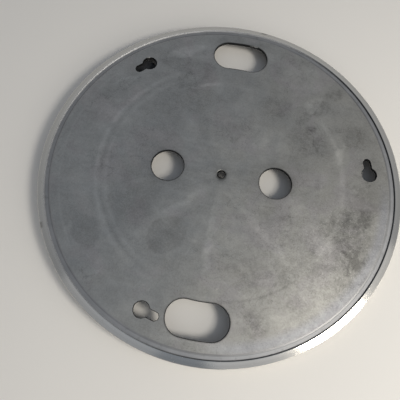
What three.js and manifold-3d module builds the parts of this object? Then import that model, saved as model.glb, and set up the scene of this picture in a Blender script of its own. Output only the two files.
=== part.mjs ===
// A low banding wheel: a 12 inch cast aluminium head that turns on a flat ball bearing. The head
// lifts off a short spindle, and the bearing stands on a four-armed cross with rubber feet.
// Millimetres, +Z up. The origin is on the bench, on the wheel's axis, and +X passes through one
// of the head's two round finger holes.
import * as THREE from "three";
import { mergeVertices } from "three/addons/utils/BufferGeometryUtils.js";
import Module from "manifold-3d";

const wasm = await Module();
wasm.setup();

// ---- Head: a dished casting, with its openings placed in degrees round from +X ----
const HEAD_RADIUS = 152.4;
const RIM_INNER_RADIUS = 146.8;
const RIM_TOP_Z = 14.2; // the rim's inner edge, the highest point of the wheel
const RIM_SLOPE_DROP = 1.15; // how far the rim falls to its outer edge
const PLATE_Z = 13.4;
const PLATE_THICKNESS = 2.6;
const GROOVE_INNER_RADIUS = 142.2; // a shallow turned groove runs from here to the rim
const GROOVE_DEPTH = 0.3;
const GROOVE_SLOPE = { inner: 0.8, outer: 0.2 }; // how far each wall of the groove leans
const RIM_INNER_EDGE = { width: 0.35, drop: 0.2 };
const RIM_OUTER_EDGE = 0.5;
const SKIRT_BOTTOM_Z = 2.6;
const SKIRT_THICKNESS = 3.8;
const SKIRT_FILLET = 3;
const SKIRT_EDGE = 0.8;
const RIB_RADII = [66, 98]; // two low stiffening rings under the plate
const RIB_WIDTH = 2.4;
const RIB_DEPTH = 1.4;
const SPINDLE_HOLE_RADIUS = 3.65;
const SPINDLE_HOLE_CHAMFER = 0.4;
const FINGER_HOLE = { radius: 13.65, pitch: 46, angles: [0, 180] };
const WINDOW = { width: 28, pitch: 120, halfSpan: 5.1, angles: [90, 270] };
const KEYHOLE = {
  radius: 6.25,
  slotWidth: 6.5,
  pitch: 126.5,
  span: 5,
  angles: [10.2, 130.2, 250.2],
};

// ---- Thrust bearing ----
const BALL_COUNT = 12;
const BALL_RADIUS = 1.2;
const BALL_PITCH_RADIUS = 17;
const BALL_Z = 5.4;
const RACE_GROOVE_RADIUS = 1.3;
const RACE_INNER_RADIUS = 13.5;
const RACE_OUTER_RADIUS = 20.5;
const RACE_FACE = 0.6; // from the balls' centre plane to each race's face
const RETAINER_THICKNESS = 0.7;
const RETAINER_WIDTH = 4.6;
const BALL_POCKET_RADIUS = 1.35;
const LOWER_RACE_THICKNESS = 1.2;
const UPPER_RACE_THICKNESS = 1;
const FIT = 0.15; // gap between two pieces that rest on each other

// ---- Rotor ----
const SPINDLE_RADIUS = 3.2;
const SPINDLE_BOTTOM_Z = 1.6;
const NOSE_RADIUS = 3.3;
const NOSE_EDGE = 0.9;
const NOSE_TOP_Z = 12.5;
const FLANGE_Z = 7.15;
const FLANGE_THICKNESS = 1;
const FLANGE_RADIUS = 28;
const FLANGE_EDGE = 0.3;
const FLANGE_LIP = { gap: 0.2, thickness: 1.2, depth: 0.85 }; // it centres the upper race
const COLLAR_RADIUS = 9;
const COLLAR_EDGE = 0.2;
const COLLAR_BOTTOM_Z = FLANGE_Z + FLANGE_THICKNESS + FIT;
const COLLAR_TOP_Z = PLATE_Z - PLATE_THICKNESS - 0.2; // just under the head, which rests on it
const PAD_INNER_RADIUS = 18.5;
const PAD_OUTER_RADIUS = 26.5;
const RIVET_RADIUS = 1.1;
const RIVET_PITCH = 6.4;
const RIVET_ANGLES = [30, 150, 270];
const RIVET_INSET = 0.1; // how far a rivet's ends lie below the faces round them
const CIRCLIP = { inner: 2.6, outer: 4.4, bottom: 1.85, top: 2.25, gap: 1.8 };
const CIRCLIP_NECK = { radius: 2.5, below: 0.05, above: 0.1 };
const SPINDLE_END_RADIUS = 3.1; // below the circlip, so that the washer slips on
const WASHER = { inner: 3.35, outer: 6.2, bottom: 2.4, top: 2.8 };

// ---- Base ----
const HUB_RADIUS = 28.5;
const HUB_BOTTOM_Z = 1.6;
const HUB_RIM_Z = 6.2;
const HUB_FLOOR_Z = 3.45;
const HUB_WALL_THICKNESS = 2.2;
const HUB_EDGE = 0.4;
const HUB_STEP = { inner: 14, outer: 15, rise: 0.5 }; // the hub's underside steps up round the cover
const LOCATING_RING = { gap: 0.3, width: 1, height: 0.8 }; // it centres the lower race
const BOSS_RADIUS = 8;
const BUSH = { inner: 3.3, outer: 4.9, flange: 7, bottom: 3, shoulder: 6.35, top: 6.8 };
const POCKET_RADIUS = 7; // under the boss, for the washer and the circlip
const POCKET_TOP_Z = 2.95;
const BUSH_GAP = 0.1;
const COVER = { radius: 12.5, bottom: 0.95, top: 1.45 };
const COVER_SCREW = { pitch: 10, angles: [0, 120, 240], head: 1.7, shank: 0.75 };
const COVER_SCREW_Z = { headBottom: 0.4, headTop: 0.85, tip: 3.1 };
const SEAL = { inner: 23, outer: 26, bottom: 3.6, top: 6.8 };
const ARM_ANGLES = [43, 133, 223, 313];
const ARM_START = 22;
const ARM_BOTTOM_Z = 2.4;
const ARM_TOP_Z = 4.6;
const ARM_ROOT_WIDTH = 24;
const ARM_TIP_WIDTH = 13;
const ARM_RIB_WIDTH = 4;
const ARM_RIB_TOP_Z = 5.9;
const FOOT_PITCH = 127;
const FOOT_PAD = { radius: 12, top: 5.6 };
const FOOT = { radius: 8.4, height: 2.2, spigot: 6.8, spigotTop: 3.1, bore: 1.75, sink: 3.2 };
const FOOT_SINK_TOP_Z = 1.5;
const FOOT_EDGE = 0.5;
const SPIGOT_GAP = 0.2;
const SCREW_TIP_GAP = 0.1;
const SCREW_CHAMFER = 0.15;
const SOCKET_SHARE = { radius: 0.5, depth: 0.6 }; // of the screw's head
const FOOT_SCREW = { head: 2.8, shank: 1.35, headBottom: 0.5, headTop: 1.35, tip: 4.9 };

// ---- How finely the round shapes are cut ----
const HEAD_SEGMENTS = 72;
const RING_SEGMENTS = 36;
const HOLE_SEGMENTS = 24;
const SMALL_SEGMENTS = 12;
const SLOT_END_SEGMENTS = 8;
const KEYHOLE_END_SEGMENTS = 4;
const CUTTER_OVERSHOOT = 2;

const MATERIALS = {
  head: new THREE.MeshStandardMaterial({ color: 0x7d8185, roughness: 0.5, metalness: 0.9 }),
  paint: new THREE.MeshStandardMaterial({ color: 0x3c4043, roughness: 0.6, metalness: 0.3 }),
  steel: new THREE.MeshStandardMaterial({ color: 0xa3a6aa, roughness: 0.3, metalness: 1 }),
  bronze: new THREE.MeshStandardMaterial({ color: 0xb08d57, roughness: 0.45, metalness: 1 }),
  rubber: new THREE.MeshStandardMaterial({ color: 0x1d1d1f, roughness: 0.85, metalness: 0 }),
  felt: new THREE.MeshStandardMaterial({ color: 0x8a8577, roughness: 0.95, metalness: 0 }),
  nylon: new THREE.MeshStandardMaterial({ color: 0xe2ddcc, roughness: 0.55, metalness: 0 }),
};

// ---- Shape helpers ----
const radians = THREE.MathUtils.degToRad;

function polar(radius, degrees) {
  const a = radians(degrees);
  return new THREE.Vector2(radius * Math.cos(a), radius * Math.sin(a));
}

// A closed geometry as a solid that can be joined and cut.
function solid(geometry) {
  const bare = geometry.index ? geometry.toNonIndexed() : geometry.clone();
  bare.deleteAttribute("normal");
  bare.deleteAttribute("uv");
  const merged = mergeVertices(bare, 1e-4);
  return new wasm.Manifold(
    new wasm.Mesh({
      numProp: 3,
      vertProperties: merged.attributes.position.array,
      triVerts: new Uint32Array(merged.index.array),
    }),
  );
}

function geometryOf(body) {
  const { numProp, numVert, vertProperties, triVerts } = body.getMesh();
  const positions = new Float32Array(numVert * 3);
  for (let i = 0; i < numVert; i++) {
    positions.set(vertProperties.subarray(i * numProp, i * numProp + 3), i * 3);
  }
  const geometry = new THREE.BufferGeometry();
  geometry.setAttribute("position", new THREE.BufferAttribute(positions, 3));
  geometry.setIndex(new THREE.BufferAttribute(triVerts, 1));
  return geometry;
}

// The body that a profile of [radius, z] points sweeps round the Z axis. The points go
// anticlockwise; a ring's profile closes on itself, and a full body's starts and ends on the axis.
function revolve(profile, segments = RING_SEGMENTS) {
  const points = profile.map(([r, z]) => new THREE.Vector2(r, z));
  if (profile[0][0] > 0) points.push(points[0].clone());
  return new THREE.LatheGeometry(points, segments).rotateX(Math.PI / 2);
}

function ring(inner, outer, bottom, top, segments) {
  return revolve([[inner, bottom], [outer, bottom], [outer, top], [inner, top]], segments);
}

function disc(radius, bottom, top, segments = SMALL_SEGMENTS) {
  return revolve([[0, bottom], [radius, bottom], [radius, top], [0, top]], segments);
}

function discAt(place, radius, bottom, top, segments = SMALL_SEGMENTS) {
  return disc(radius, bottom, top, segments).translate(place.x, place.y, 0);
}

function prism(shape, bottom, top, curveSegments = SLOT_END_SEGMENTS) {
  const options = { depth: top - bottom, bevelEnabled: false, curveSegments };
  return new THREE.ExtrudeGeometry(shape, options).translate(0, 0, bottom);
}

// [radius, z] points along an arc, from one angle to the other.
function arcProfile(centreRadius, centreZ, radius, fromDegrees, toDegrees, steps) {
  return Array.from({ length: steps + 1 }, (_, i) => {
    const p = polar(radius, fromDegrees + ((toDegrees - fromDegrees) * i) / steps);
    return [centreRadius + p.x, centreZ + p.y];
  });
}

// The outline of a round-ended slot that follows a circle about the wheel's axis.
function arcSlot(pitch, width, fromDegrees, toDegrees) {
  const half = width / 2;
  const [a, b] = [radians(fromDegrees), radians(toDegrees)];
  const [start, end] = [polar(pitch, fromDegrees), polar(pitch, toDegrees)];
  const shape = new THREE.Shape();
  shape.absarc(0, 0, pitch + half, a, b, false);
  shape.absarc(end.x, end.y, half, b, b + Math.PI, false);
  shape.absarc(0, 0, pitch - half, b, a, true);
  shape.absarc(start.x, start.y, half, a + Math.PI, a + 2 * Math.PI, false);
  return shape;
}

function mesh(name, geometry, material) {
  const made = new THREE.Mesh(geometry, material);
  made.name = name;
  return made;
}

function assembly(...pieces) {
  const group = new THREE.Group();
  group.add(...pieces.flat());
  return group;
}

// Copies of one piece, numbered from 1, at the given angles round the axis.
function copiesRound(name, geometry, material, pitch, angles) {
  return angles.map((angle, i) => {
    const copy = mesh(`${name}_${i + 1}`, geometry, material);
    const place = polar(pitch, angle);
    copy.position.set(place.x, place.y, 0);
    copy.rotation.z = radians(angle);
    return copy;
  });
}

function evenly(count, first = 0) {
  return Array.from({ length: count }, (_, i) => first + (360 * i) / count);
}

// A screw standing head down: its head spans headBottom to headTop and its shank ends at tip.
// A hexagonal socket is sunk in the head.
function socketScrew(headRadius, shankRadius, headBottom, headTop, tip) {
  const body = revolve(
    [
      [0, headBottom],
      [headRadius - SCREW_CHAMFER, headBottom],
      [headRadius, headBottom + SCREW_CHAMFER],
      [headRadius, headTop],
      [shankRadius, headTop],
      [shankRadius, tip],
      [0, tip],
    ],
    SMALL_SEGMENTS,
  );
  const socketTop = headBottom + (headTop - headBottom) * SOCKET_SHARE.depth;
  const socketRadius = headRadius * SOCKET_SHARE.radius;
  const socket = disc(socketRadius, headBottom - CUTTER_OVERSHOOT, socketTop, 6);
  return geometryOf(solid(body).subtract(solid(socket)));
}

// ---- Head ----
function headCasting() {
  const underside = PLATE_Z - PLATE_THICKNESS;
  const skirtInner = HEAD_RADIUS - SKIRT_THICKNESS;
  const rimOuterZ = RIM_TOP_Z - RIM_SLOPE_DROP;
  const ribs = RIB_RADII.flatMap((r) => [
    [r - RIB_WIDTH / 2, underside],
    [r - RIB_WIDTH / 4, underside - RIB_DEPTH],
    [r + RIB_WIDTH / 4, underside - RIB_DEPTH],
    [r + RIB_WIDTH / 2, underside],
  ]);
  const fillet = SKIRT_FILLET;
  return revolve(
    [
      [SPINDLE_HOLE_RADIUS, underside],
      ...ribs,
      ...arcProfile(skirtInner - fillet, underside - fillet, fillet, 90, 0, 2),
      [skirtInner, SKIRT_BOTTOM_Z],
      [HEAD_RADIUS - SKIRT_EDGE, SKIRT_BOTTOM_Z],
      [HEAD_RADIUS, SKIRT_BOTTOM_Z + SKIRT_EDGE],
      [HEAD_RADIUS, rimOuterZ - RIM_OUTER_EDGE],
      [HEAD_RADIUS - RIM_OUTER_EDGE, rimOuterZ],
      [RIM_INNER_RADIUS + RIM_INNER_EDGE.width, RIM_TOP_Z],
      [RIM_INNER_RADIUS, RIM_TOP_Z - RIM_INNER_EDGE.drop],
      [RIM_INNER_RADIUS - GROOVE_SLOPE.outer, PLATE_Z - GROOVE_DEPTH],
      [GROOVE_INNER_RADIUS + GROOVE_SLOPE.inner, PLATE_Z - GROOVE_DEPTH],
      [GROOVE_INNER_RADIUS, PLATE_Z],
      [SPINDLE_HOLE_RADIUS + SPINDLE_HOLE_CHAMFER, PLATE_Z],
      [SPINDLE_HOLE_RADIUS, PLATE_Z - SPINDLE_HOLE_CHAMFER],
    ],
    HEAD_SEGMENTS,
  );
}

function wheelHead() {
  const bottom = PLATE_Z - PLATE_THICKNESS - CUTTER_OVERSHOOT;
  const top = PLATE_Z + CUTTER_OVERSHOOT;
  let head = solid(headCasting());
  const cut = (geometry) => {
    head = head.subtract(solid(geometry));
  };
  for (const angle of FINGER_HOLE.angles) {
    const place = polar(FINGER_HOLE.pitch, angle);
    cut(discAt(place, FINGER_HOLE.radius, bottom, top, RING_SEGMENTS));
  }
  for (const angle of WINDOW.angles) {
    const [from, to] = [angle - WINDOW.halfSpan, angle + WINDOW.halfSpan];
    cut(prism(arcSlot(WINDOW.pitch, WINDOW.width, from, to), bottom, top));
  }
  for (const angle of KEYHOLE.angles) {
    const slot = arcSlot(KEYHOLE.pitch, KEYHOLE.slotWidth, angle, angle + KEYHOLE.span);
    cut(prism(slot, bottom, top, KEYHOLE_END_SEGMENTS));
    cut(discAt(polar(KEYHOLE.pitch, angle), KEYHOLE.radius, bottom, top, HOLE_SEGMENTS));
  }
  return mesh("wheel_head", geometryOf(head), MATERIALS.head);
}

// ---- Rotor: what the head rests on and turns with ----
// The same three rivet holes pass through the spindle's collar and the flange under it.
function riveted(body) {
  return RIVET_ANGLES.reduce((made, angle) => {
    const place = polar(RIVET_PITCH, angle);
    const [from, to] = [FLANGE_Z - CUTTER_OVERSHOOT, COLLAR_TOP_Z + CUTTER_OVERSHOOT];
    return made.subtract(solid(discAt(place, RIVET_RADIUS + FIT, from, to)));
  }, solid(body));
}

function spindle() {
  const neckBottom = CIRCLIP.bottom - CIRCLIP_NECK.below;
  const neckTop = CIRCLIP.top + CIRCLIP_NECK.above;
  const body = revolve(
    [
      [0, SPINDLE_BOTTOM_Z],
      [SPINDLE_END_RADIUS, SPINDLE_BOTTOM_Z],
      [SPINDLE_END_RADIUS, neckBottom],
      [CIRCLIP_NECK.radius, neckBottom],
      [CIRCLIP_NECK.radius, neckTop],
      [SPINDLE_RADIUS, neckTop],
      [SPINDLE_RADIUS, COLLAR_BOTTOM_Z],
      [COLLAR_RADIUS, COLLAR_BOTTOM_Z],
      [COLLAR_RADIUS, COLLAR_TOP_Z - COLLAR_EDGE],
      [COLLAR_RADIUS - COLLAR_EDGE, COLLAR_TOP_Z],
      [NOSE_RADIUS, COLLAR_TOP_Z],
      ...arcProfile(NOSE_RADIUS - NOSE_EDGE, NOSE_TOP_Z - NOSE_EDGE, NOSE_EDGE, 0, 90, 4),
      [0, NOSE_TOP_Z],
    ],
    HOLE_SEGMENTS,
  );
  return mesh("spindle", geometryOf(riveted(body)), MATERIALS.steel);
}

// A disc with a lip under it that centres the upper race.
function driveFlange() {
  const bore = SPINDLE_RADIUS + FIT;
  const top = FLANGE_Z + FLANGE_THICKNESS;
  const lipInner = RACE_OUTER_RADIUS + FLANGE_LIP.gap;
  const lipOuter = lipInner + FLANGE_LIP.thickness;
  const lipBottom = FLANGE_Z - FLANGE_LIP.depth;
  const body = revolve([
    [bore, FLANGE_Z],
    [lipInner, FLANGE_Z],
    [lipInner, lipBottom],
    [lipOuter, lipBottom],
    [lipOuter, FLANGE_Z],
    [FLANGE_RADIUS - FLANGE_EDGE, FLANGE_Z],
    [FLANGE_RADIUS, FLANGE_Z + FLANGE_EDGE],
    [FLANGE_RADIUS, top - FLANGE_EDGE],
    [FLANGE_RADIUS - FLANGE_EDGE, top],
    [bore, top],
  ]);
  return mesh("drive_flange", geometryOf(riveted(body)), MATERIALS.steel);
}

function flangeRivets() {
  const [bottom, top] = [FLANGE_Z + RIVET_INSET, COLLAR_TOP_Z - RIVET_INSET];
  const rivet = disc(RIVET_RADIUS, bottom, top);
  return copiesRound("flange_rivet", rivet, MATERIALS.steel, RIVET_PITCH, RIVET_ANGLES);
}

// The pad that drives the head by friction.
function frictionPad() {
  const pad = ring(PAD_INNER_RADIUS, PAD_OUTER_RADIUS, COLLAR_BOTTOM_Z, COLLAR_TOP_Z);
  return mesh("friction_pad", pad, MATERIALS.rubber);
}

function thrustWasher() {
  const washer = ring(WASHER.inner, WASHER.outer, WASHER.bottom, WASHER.top, HOLE_SEGMENTS);
  return mesh("thrust_washer", washer, MATERIALS.bronze);
}

function circlip() {
  const full = ring(CIRCLIP.inner, CIRCLIP.outer, CIRCLIP.bottom, CIRCLIP.top, HOLE_SEGMENTS);
  const gap = new THREE.BoxGeometry(2 * CIRCLIP.outer, CIRCLIP.gap, CUTTER_OVERSHOOT);
  gap.translate(CIRCLIP.outer, 0, CIRCLIP.bottom);
  return mesh("circlip", geometryOf(solid(full).subtract(solid(gap))), MATERIALS.steel);
}

// ---- Thrust bearing ----
// A race's profile: a flat ring whose face carries a round groove for the balls. side is +1
// for the race above the balls and -1 for the one below.
function race(name, side, thickness) {
  const face = BALL_Z + side * RACE_FACE;
  const back = face + side * thickness;
  const dip = THREE.MathUtils.radToDeg(Math.asin(RACE_FACE / RACE_GROOVE_RADIUS));
  const [from, to] = side > 0 ? [180 - dip, dip] : [-dip, dip - 180];
  const groove = arcProfile(BALL_PITCH_RADIUS, BALL_Z, RACE_GROOVE_RADIUS, from, to, 5);
  const inner = RACE_INNER_RADIUS;
  const outer = RACE_OUTER_RADIUS;
  const profile =
    side > 0
      ? [[inner, face], ...groove, [outer, face], [outer, back], [inner, back]]
      : [[inner, back], [outer, back], [outer, face], ...groove, [inner, face]];
  return mesh(name, revolve(profile), MATERIALS.steel);
}

function ballRetainer() {
  const half = RETAINER_THICKNESS / 2;
  const [inner, outer] = [-1, 1].map((side) => BALL_PITCH_RADIUS + (side * RETAINER_WIDTH) / 2);
  let made = solid(ring(inner, outer, BALL_Z - half, BALL_Z + half));
  for (const angle of evenly(BALL_COUNT)) {
    const place = polar(BALL_PITCH_RADIUS, angle);
    const [from, to] = [BALL_Z - CUTTER_OVERSHOOT, BALL_Z + CUTTER_OVERSHOOT];
    const pocket = discAt(place, BALL_POCKET_RADIUS, from, to);
    made = made.subtract(solid(pocket));
  }
  return mesh("ball_retainer", geometryOf(made), MATERIALS.nylon);
}

function balls() {
  const ball = new THREE.SphereGeometry(BALL_RADIUS, 10, 6).translate(0, 0, BALL_Z);
  return copiesRound("ball", ball, MATERIALS.steel, BALL_PITCH_RADIUS, evenly(BALL_COUNT));
}

// ---- Base ----
// A bar along +X from the hub to the foot, tapering from rootWidth to tipWidth.
function armBar(rootWidth, tipWidth, top) {
  const outline = new THREE.Shape();
  outline.moveTo(ARM_START, -rootWidth / 2);
  outline.lineTo(FOOT_PITCH, -tipWidth / 2);
  outline.lineTo(FOOT_PITCH, tipWidth / 2);
  outline.lineTo(ARM_START, rootWidth / 2);
  return solid(prism(outline, ARM_BOTTOM_Z, top));
}

function crossArm(angle) {
  const end = new THREE.Vector2(FOOT_PITCH, 0);
  return armBar(ARM_ROOT_WIDTH, ARM_TIP_WIDTH, ARM_TOP_Z)
    .add(armBar(ARM_RIB_WIDTH, ARM_RIB_WIDTH, ARM_RIB_TOP_Z))
    .add(solid(discAt(end, FOOT_PAD.radius, ARM_BOTTOM_Z, FOOT_PAD.top, HOLE_SEGMENTS)))
    .subtract(solid(discAt(end, FOOT.spigot + SPIGOT_GAP, 0, FOOT.spigotTop + FIT, HOLE_SEGMENTS)))
    .subtract(solid(discAt(end, FOOT_SCREW.shank + FIT, 0, FOOT_SCREW.tip + SCREW_TIP_GAP)))
    .rotate([0, 0, angle]);
}

function baseCross() {
  const hub = revolve([
    [0, HUB_BOTTOM_Z],
    [HUB_STEP.inner, HUB_BOTTOM_Z],
    [HUB_STEP.outer, HUB_BOTTOM_Z + HUB_STEP.rise],
    [HUB_RADIUS - HUB_EDGE, HUB_BOTTOM_Z + HUB_STEP.rise],
    [HUB_RADIUS, HUB_BOTTOM_Z + HUB_STEP.rise + HUB_EDGE],
    [HUB_RADIUS, HUB_RIM_Z - HUB_EDGE],
    [HUB_RADIUS - HUB_EDGE, HUB_RIM_Z],
    [0, HUB_RIM_Z],
  ]);
  // The well round the boss holds the lower race, inside a low locating ring, and the seal.
  const raceSeat = RACE_INNER_RADIUS - LOCATING_RING.gap;
  const ringTop = HUB_FLOOR_Z + LOCATING_RING.height;
  const wellRadius = HUB_RADIUS - HUB_WALL_THICKNESS;
  const well = revolve([
    [BOSS_RADIUS, HUB_FLOOR_Z],
    [raceSeat - LOCATING_RING.width, HUB_FLOOR_Z],
    [raceSeat - LOCATING_RING.width, ringTop],
    [raceSeat, ringTop],
    [raceSeat, HUB_FLOOR_Z],
    [wellRadius, HUB_FLOOR_Z],
    [wellRadius, HUB_RIM_Z + CUTTER_OVERSHOOT],
    [BOSS_RADIUS, HUB_RIM_Z + CUTTER_OVERSHOOT],
  ]);
  let made = ARM_ANGLES.reduce((body, angle) => body.add(crossArm(angle)), solid(hub));
  made = made
    .subtract(solid(well))
    .subtract(solid(disc(BUSH.outer + BUSH_GAP, 0, HUB_RIM_Z + CUTTER_OVERSHOOT, HOLE_SEGMENTS)))
    .subtract(solid(disc(POCKET_RADIUS, 0, POCKET_TOP_Z, HOLE_SEGMENTS)));
  for (const angle of COVER_SCREW.angles) {
    const place = polar(COVER_SCREW.pitch, angle);
    const hole = discAt(place, COVER_SCREW.shank + FIT, 0, COVER_SCREW_Z.tip + SCREW_TIP_GAP);
    made = made.subtract(solid(hole));
  }
  return mesh("base_cross", geometryOf(made), MATERIALS.paint);
}

function spindleBush() {
  const bush = revolve(
    [
      [BUSH.inner, BUSH.bottom],
      [BUSH.outer, BUSH.bottom],
      [BUSH.outer, BUSH.shoulder],
      [BUSH.flange, BUSH.shoulder],
      [BUSH.flange, BUSH.top],
      [BUSH.inner, BUSH.top],
    ],
    HOLE_SEGMENTS,
  );
  return mesh("spindle_bush", bush, MATERIALS.bronze);
}

function dustSeal() {
  const seal = ring(SEAL.inner, SEAL.outer, SEAL.bottom, SEAL.top);
  return mesh("dust_seal", seal, MATERIALS.felt);
}

function bearingCover() {
  let made = solid(disc(COVER.radius, COVER.bottom, COVER.top, HOLE_SEGMENTS));
  for (const angle of COVER_SCREW.angles) {
    const place = polar(COVER_SCREW.pitch, angle);
    const top = COVER.top + CUTTER_OVERSHOOT;
    made = made.subtract(solid(discAt(place, COVER_SCREW.shank + FIT, 0, top)));
  }
  return mesh("bearing_cover", geometryOf(made), MATERIALS.steel);
}

function coverScrews() {
  const { head, shank, pitch, angles } = COVER_SCREW;
  const { headBottom, headTop, tip } = COVER_SCREW_Z;
  const screw = socketScrew(head, shank, headBottom, headTop, tip);
  return copiesRound("cover_screw", screw, MATERIALS.steel, pitch, angles);
}

function feet() {
  const foot = revolve(
    [
      [FOOT.sink, 0],
      [FOOT.radius - FOOT_EDGE, 0],
      [FOOT.radius, FOOT_EDGE],
      [FOOT.radius, FOOT.height],
      [FOOT.spigot, FOOT.height],
      [FOOT.spigot, FOOT.spigotTop],
      [FOOT.bore, FOOT.spigotTop],
      [FOOT.bore, FOOT_SINK_TOP_Z],
      [FOOT.sink, FOOT_SINK_TOP_Z],
    ],
    HOLE_SEGMENTS,
  );
  return copiesRound("foot", foot, MATERIALS.rubber, FOOT_PITCH, ARM_ANGLES);
}

function footScrews() {
  const { head, shank, headBottom, headTop, tip } = FOOT_SCREW;
  const screw = socketScrew(head, shank, headBottom, headTop, tip);
  return copiesRound("foot_screw", screw, MATERIALS.steel, FOOT_PITCH, ARM_ANGLES);
}

// ---- The wheel ----
const base = assembly(
  baseCross(),
  race("lower_race", -1, LOWER_RACE_THICKNESS),
  spindleBush(),
  dustSeal(),
  bearingCover(),
  coverScrews(),
  feet(),
  footScrews(),
);
const rotor = assembly(
  spindle(),
  driveFlange(),
  flangeRivets(),
  frictionPad(),
  race("upper_race", 1, UPPER_RACE_THICKNESS),
  thrustWasher(),
  circlip(),
);
const ballCage = assembly(ballRetainer(), balls());
const head = assembly(wheelHead());
const group = assembly(base, rotor, ballCage, head);

export default group;
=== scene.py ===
import math

import bmesh
import bpy
from mathutils import Matrix, Vector


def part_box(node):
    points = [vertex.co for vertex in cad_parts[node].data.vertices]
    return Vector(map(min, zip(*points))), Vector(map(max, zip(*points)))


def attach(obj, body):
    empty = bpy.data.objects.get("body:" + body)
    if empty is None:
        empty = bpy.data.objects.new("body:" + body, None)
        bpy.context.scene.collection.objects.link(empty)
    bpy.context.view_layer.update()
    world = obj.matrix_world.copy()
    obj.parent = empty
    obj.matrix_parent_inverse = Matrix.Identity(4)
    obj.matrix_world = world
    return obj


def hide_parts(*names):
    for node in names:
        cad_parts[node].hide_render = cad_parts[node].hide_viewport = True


# The looks of a low banding wheel. Every piece is built finely round its CAD solid, on the same
# dimensions. Lengths are in millimetres, as the design's are, and MM turns them into metres.
# A profile's point is a radius, a height and, where it matters, how far its corner is rounded.
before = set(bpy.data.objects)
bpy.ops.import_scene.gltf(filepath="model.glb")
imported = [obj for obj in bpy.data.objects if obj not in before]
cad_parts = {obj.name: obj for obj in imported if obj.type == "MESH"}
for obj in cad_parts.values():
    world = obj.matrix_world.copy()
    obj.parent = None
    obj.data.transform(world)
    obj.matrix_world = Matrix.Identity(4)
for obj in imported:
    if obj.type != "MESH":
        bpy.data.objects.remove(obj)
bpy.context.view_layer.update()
MM = 0.001


def cad_round(node):
    """(radius, bottom, top) of a CAD node that is round about the wheel's axis."""
    low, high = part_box(node)
    return high.x / MM, low.z / MM, high.z / MM


def cad_place(node):
    """Where a CAD node stands, seen from above."""
    low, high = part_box(node)
    return ((low.x + high.x) / 2 / MM, (low.y + high.y) / 2 / MM)


def numbered(name, count):
    return [f"{name}_{number}" for number in range(1, count + 1)]


# ---- Head ----
HEAD_RADIUS, SKIRT_BOTTOM, RIM_TOP = cad_round("wheel_head")
RIM_INNER = HEAD_RADIUS - 5.6
RIM_OUTER_Z = RIM_TOP - 1.15
PLATE = RIM_TOP - 0.8
UNDERSIDE = PLATE - 2.6
GROOVE_INNER = HEAD_RADIUS - 10.2
GROOVE_FLOOR = PLATE - 0.3
GROOVE_SLOPE = 0.8  # how far the groove's inner wall leans
SKIRT_INNER = HEAD_RADIUS - 3.8
SKIRT_FILLET = 3
RIB_RADII = (66, 98)
RIB_WIDTH = 2.4
RIB_DEPTH = 1.4
RIB_FILLET = 0.6
SPINDLE_HOLE = 3.65
FINGER_HOLE = {"radius": 13.65, "pitch": 46, "angles": (0, 180)}
WINDOW = {"width": 28, "pitch": 120, "half_span": 5.1, "angles": (90, 270)}
KEYHOLE = {"radius": 6.25, "slot": 6.5, "pitch": 126.5, "span": 5, "angles": (10.2, 130.2, 250.2)}
OPENING_EDGE = 0.55  # how far the openings' edges are rounded off
CAST_WANDER = 0.16  # how far the cast keyholes' edges stray from a true outline
OPENING_HAIR = 0.04  # how far the rounding overlaps the face, as a share of its size
RIM_NICKS = (83, 207)  # degrees round, on the rim's outer edge
PLATE_METAL, RIM_METAL, CAST_METAL, EDGE_METAL, GROOVE_METAL = range(5)

# ---- Bearing and rotor ----
BALLS = numbered("ball", 12)
BALL_RADIUS = 1.2
BALL_PITCH = 17
BALL_Z = 5.4
GROOVE_RADIUS = 1.3
RACE_FACE = 0.6
RACE_INNER = 13.5
RACE_OUTER = 20.5
RETAINER_INNER = 14.7
POCKET_RADIUS = 1.35
SPINDLE_RADIUS = 3.2
SPINDLE_TIP_RADIUS = SPINDLE_RADIUS - 0.1
NECK_RADIUS = 2.5
NOSE_RADIUS = 3.3
COLLAR_RADIUS = 9
RIVETS = numbered("flange_rivet", 3)
RIVET_RADIUS = 1.1
RIVET_HOLE = RIVET_RADIUS + 0.15
FLANGE_GAP = 0.15  # between the flange and both the spindle and the race
LIP_INNER = 20.7
LIP_OUTER = 21.9
PAD_INNER = 18.5
PAD_GROOVES = {"places": (24.5, 22.5, 20.5), "half_top": 0.35, "half_floor": 0.25, "depth": 0.2}
CIRCLIP_INNER = 2.6
CIRCLIP_GAP = 1.8
CIRCLIP_PLAY = {"below": 0.05, "above": 0.1}
WASHER_INNER = 3.35

# ---- Base ----
HUB_RADIUS = 28.5
HUB_BOTTOM = 1.6
HUB_RIM = 6.2
HUB_FLOOR = 3.45
HUB_WALL = 2.2
HUB_STEP = {"inner": 14.5, "outer": 15, "height": 0.5}
RACE_SEAT = {"gap": 0.3, "width": 1, "height": 0.8}
BOSS_RADIUS = 8
BUSH_HOLE = 5
COVER_POCKET = {"radius": 7, "top": 2.95}
ARM_ANGLES = (43, 133, 223, 313)
ARM_START = 27.4
ARM_BOTTOM = 2.4
ARM_TOP = 4.6
ARM_ROOT_WIDTH = 23.4
ARM_TIP_WIDTH = 13
ARM_RIB_WIDTH = 4
ARM_RIB_TOP = 5.9
FOOT_PITCH = 127
FOOT_PAD_RADIUS = 12
FOOT_PAD_TOP = 5.6
FOOT_RECESS = {"radius": 7, "top": 3.25}
FOOT_HOLE = {"radius": 1.5, "top": 5}
FOOT = {"radius": 8.4, "height": 2.2, "spigot": 6.8, "bore": 1.75, "sink": 3.2, "sink_top": 1.5}
FOOT_SCREW = {"head": 2.8, "shank": 1.35, "head_top": 1.35}
COVER_SCREW = {"head": 1.7, "shank": 0.75, "head_top": 0.85}
COVER_SCREWS = numbered("cover_screw", 3)
COVER_HOLE = 0.9
COVER_DISH = {"inner": 6.5, "outer": 7.5, "depth": 0.15}
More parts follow.
